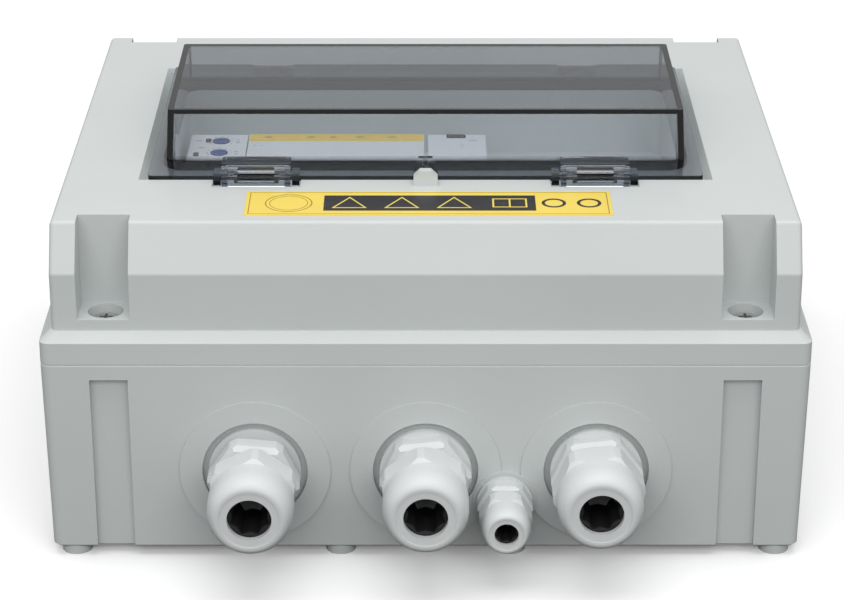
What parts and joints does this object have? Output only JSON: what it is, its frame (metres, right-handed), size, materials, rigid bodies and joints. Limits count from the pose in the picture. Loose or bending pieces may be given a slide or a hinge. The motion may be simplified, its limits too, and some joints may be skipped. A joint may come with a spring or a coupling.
{
  "type": "din rail switchgear enclosure",
  "caption": "Wall-mounting switchgear box with a screwed cover, a hinged tinted window held by two latch clips, rail devices and clamping cable glands",
  "frame": {"origin": "centre of the four wall-screw holes, in the plane of the feet that rest on the wall", "axes": "+X to the right seen from the cable-gland wall, +Y from the gland wall to the window's hinge side, +Z out of the wall through the window"},
  "size_m": [0.3, 0.3024, 0.1588],
  "materials": {
    "enclosure": "fine moulded texture",
    "smoke": "smoke-tinted clear polycarbonate",
    "foam": "closed-cell seal",
    "label": "printed film",
    "zinc": "zinc plated",
    "brass": "turned brass",
    "black_rubber": "smooth rubber",
    "gland_nylon": "satin nylon",
    "rail_steel": "zinc plated strip",
    "device_housing": "fine moulded texture",
    "blue_dial": "moulded",
    "marker": "marker strip",
    "dark_trim": "smooth",
    "grey_nylon": "moulded",
    "green_nylon": "moulded",
    "blue_nylon": "moulded"
  },
  "bodies": {
    "box": {"aux_relay_body": "device_housing", "aux_relay_flag": "dark_trim", "base_shell": "enclosure", "contactor_body": "device_housing", "contactor_marker": "marker", "din_rail": "rail_steel", "earth_bar": "brass", "earth_bar_holder": "green_nylon", "earth_bar_screws": "zinc", "end_stop_left": "grey_nylon", "end_stop_right": "grey_nylon", "gland_left_body": "gland_nylon", "gland_left_locknut": "gland_nylon", "gland_left_washer": "gland_nylon", "gland_middle_body": "gland_nylon", "gland_middle_locknut": "gland_nylon", "gland_middle_washer": "gland_nylon", "gland_right_body": "gland_nylon", "gland_right_locknut": "gland_nylon", "gland_right_washer": "gland_nylon", "gland_small_body": "gland_nylon", "gland_small_locknut": "gland_nylon", "gland_small_washer": "gland_nylon", "neutral_bar": "brass", "neutral_bar_holder": "blue_nylon", "neutral_bar_screws": "zinc", "rail_screws": "zinc", "rail_support_left": "grey_nylon", "rail_support_right": "grey_nylon", "relay_body": "device_housing", "relay_lenses": "dark_trim", "screw_inserts": "brass", "terminal_screws": "zinc"},
    "lid": {"lid_cover": "enclosure", "lid_gasket": "foam", "lid_screws": "zinc", "rating_label": "label", "hinge_bracket_left": "smoke", "hinge_bracket_right": "smoke", "hinge_pins": "zinc", "blanking_strip": "device_housing"},
    "window": {"window_cover": "smoke", "window_seal": "foam"},
    "clip_left": {"latch_clip_left": "smoke"},
    "clip_right": {"latch_clip_right": "smoke"},
    "dial_rear": {"relay_dial_rear": "blue_dial"},
    "dial_front": {"relay_dial_front": "blue_dial"},
    "gland_left_insert": {"gland_left_seal": "black_rubber"},
    "gland_left_nut": {"gland_left_dome_nut": "gland_nylon"},
    "gland_middle_insert": {"gland_middle_seal": "black_rubber"},
    "gland_middle_nut": {"gland_middle_dome_nut": "gland_nylon"},
    "gland_right_insert": {"gland_right_seal": "black_rubber"},
    "gland_right_nut": {"gland_right_dome_nut": "gland_nylon"},
    "gland_small_insert": {"gland_small_seal": "black_rubber"},
    "gland_small_nut": {"gland_small_dome_nut": "gland_nylon"}
  },
  "joints": [
    {"name": "lid_lift", "type": "slide", "parent": "box", "child": "lid", "axis": [0, 0, 1], "range_m": [0, 0.12]},
    {"name": "window_hinge", "type": "hinge", "parent": "lid", "child": "window", "pos_m": [0, 0.066, 0.1373], "axis": [-1, 0, 0], "range_deg": [0, 110]},
    {"name": "clip_left_turn", "type": "hinge", "parent": "window", "child": "clip_left", "pos_m": [-0.0675, -0.0714, 0.1402], "axis": [1, 0, 0], "range_deg": [0, 70]},
    {"name": "clip_right_turn", "type": "hinge", "parent": "window", "child": "clip_right", "pos_m": [0.0675, -0.0714, 0.1402], "axis": [1, 0, 0], "range_deg": [0, 70]},
    {"name": "dial_rear_turn", "type": "hinge", "parent": "box", "child": "dial_rear", "pos_m": [-0.0878, 0.014, 0.1243], "axis": [0, 0, 1], "range_deg": [-135, 135]},
    {"name": "dial_front_turn", "type": "hinge", "parent": "box", "child": "dial_front", "pos_m": [-0.0878, -0.0004, 0.1243], "axis": [0, 0, 1], "range_deg": [-135, 135]},
    {"name": "gland_left_thread_travel", "type": "slide", "parent": "box", "child": "gland_left_insert", "axis": [0, -1, 0], "range_m": [0, 0.0045]},
    {"name": "gland_left_nut_turn", "type": "hinge", "parent": "gland_left_insert", "child": "gland_left_nut", "pos_m": [-0.0673, -0.15, 0.0385], "axis": [0, -1, 0], "range_deg": [0, 1080]},
    {"name": "gland_middle_thread_travel", "type": "slide", "parent": "box", "child": "gland_middle_insert", "axis": [0, -1, 0], "range_m": [0, 0.0045]},
    {"name": "gland_middle_nut_turn", "type": "hinge", "parent": "gland_middle_insert", "child": "gland_middle_nut", "pos_m": [0, -0.15, 0.0385], "axis": [0, -1, 0], "range_deg": [0, 1080]},
    {"name": "gland_right_thread_travel", "type": "slide", "parent": "box", "child": "gland_right_insert", "axis": [0, -1, 0], "range_m": [0, 0.0045]},
    {"name": "gland_right_nut_turn", "type": "hinge", "parent": "gland_right_insert", "child": "gland_right_nut", "pos_m": [0.0673, -0.15, 0.0385], "axis": [0, -1, 0], "range_deg": [0, 1080]},
    {"name": "gland_small_thread_travel", "type": "slide", "parent": "box", "child": "gland_small_insert", "axis": [0, -1, 0], "range_m": [0, 0.0045]},
    {"name": "gland_small_nut_turn", "type": "hinge", "parent": "gland_small_insert", "child": "gland_small_nut", "pos_m": [0.0313, -0.15, 0.0257], "axis": [0, -1, 0], "range_deg": [0, 1080]}
  ],
  "couplings": [
    {"joint": "gland_left_nut_turn", "follows": "gland_left_thread_travel", "rad_per_m": 4188.8},
    {"joint": "gland_middle_nut_turn", "follows": "gland_middle_thread_travel", "rad_per_m": 4188.8},
    {"joint": "gland_right_nut_turn", "follows": "gland_right_thread_travel", "rad_per_m": 4188.8},
    {"joint": "gland_small_nut_turn", "follows": "gland_small_thread_travel", "rad_per_m": 4188.8}
  ]
}
